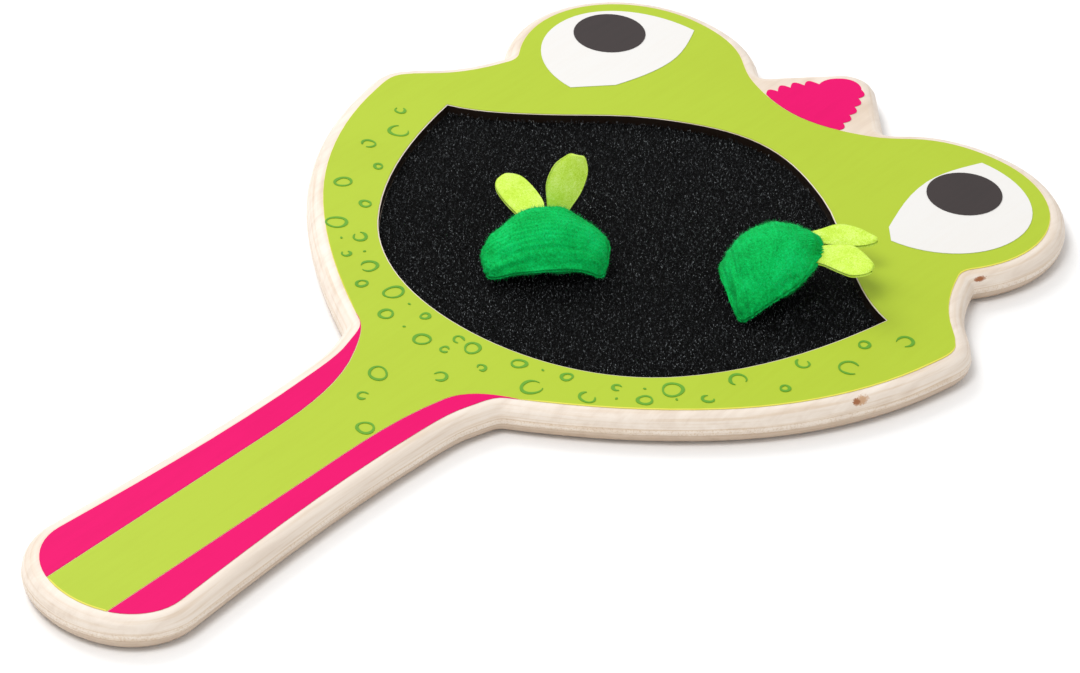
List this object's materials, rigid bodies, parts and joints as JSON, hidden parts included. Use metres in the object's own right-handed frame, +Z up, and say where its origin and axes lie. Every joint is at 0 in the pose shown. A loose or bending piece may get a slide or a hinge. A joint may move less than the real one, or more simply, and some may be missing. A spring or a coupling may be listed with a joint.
{
  "type": "hook and loop catch set",
  "caption": "Plywood catch paddle shaped as a frog's head on a handle, with a hook-tape pad in its open mouth and small stuffed knitted bugs that cling to it.",
  "frame": {"origin": "under the middle of the paddle's length and width, on its flat underside", "axes": "+X to the paddle's right seen from above with the handle nearest, +Y from the handle to the tuft between the eyes, +Z up out of the printed face"},
  "size_m": [0.1902, 0.2994, 0.0298],
  "materials": {
    "plywood": "pale birch plywood, sanded and clear lacquered",
    "hook_tape": "black nylon hook tape",
    "lime_ink": "screen-printed lime ink, satin",
    "pink_ink": "screen-printed pink ink, satin",
    "white_ink": "screen-printed white ink, satin",
    "grey_ink": "screen-printed dark grey ink, satin",
    "green_ink": "screen-printed mid green ink, satin",
    "green_knit": "ribbed green knit, stuffed",
    "lime_felt": "lime needle felt"
  },
  "bodies": {
    "root": {"paddle_board": "plywood", "hook_pad": "hook_tape", "lime_face_print": "lime_ink", "left_handle_stripe": "pink_ink", "right_handle_stripe": "pink_ink", "tuft_print": "pink_ink", "left_eye_white": "white_ink", "right_eye_white": "white_ink", "left_pupil": "grey_ink", "right_pupil": "grey_ink", "skin_ring_01": "green_ink", "skin_ring_02": "green_ink", "skin_ring_03": "green_ink", "skin_ring_04": "green_ink", "skin_ring_05": "green_ink", "skin_ring_06": "green_ink", "skin_ring_07": "green_ink", "skin_ring_08": "green_ink", "skin_ring_09": "green_ink", "skin_ring_10": "green_ink", "skin_ring_11": "green_ink", "skin_ring_12": "green_ink", "skin_ring_13": "green_ink", "skin_ring_14": "green_ink", "skin_ring_15": "green_ink", "skin_ring_16": "green_ink", "skin_ring_17": "green_ink", "skin_ring_18": "green_ink", "skin_ring_19": "green_ink", "skin_ring_20": "green_ink", "skin_ring_21": "green_ink", "skin_ring_22": "green_ink", "skin_ring_23": "green_ink", "skin_ring_24": "green_ink", "skin_ring_25": "green_ink", "skin_ring_26": "green_ink", "skin_ring_27": "green_ink", "skin_ring_28": "green_ink", "skin_ring_29": "green_ink", "skin_ring_30": "green_ink", "skin_ring_31": "green_ink", "skin_ring_32": "green_ink", "skin_ring_33": "green_ink", "skin_ring_34": "green_ink", "skin_ring_35": "green_ink", "skin_ring_36": "green_ink", "skin_ring_37": "green_ink", "first_bug_body": "green_knit", "first_bug_left_wing": "lime_felt", "first_bug_right_wing": "lime_felt", "second_bug_body": "green_knit", "second_bug_left_wing": "lime_felt", "second_bug_right_wing": "lime_felt"}
  },
  "joints": []
}
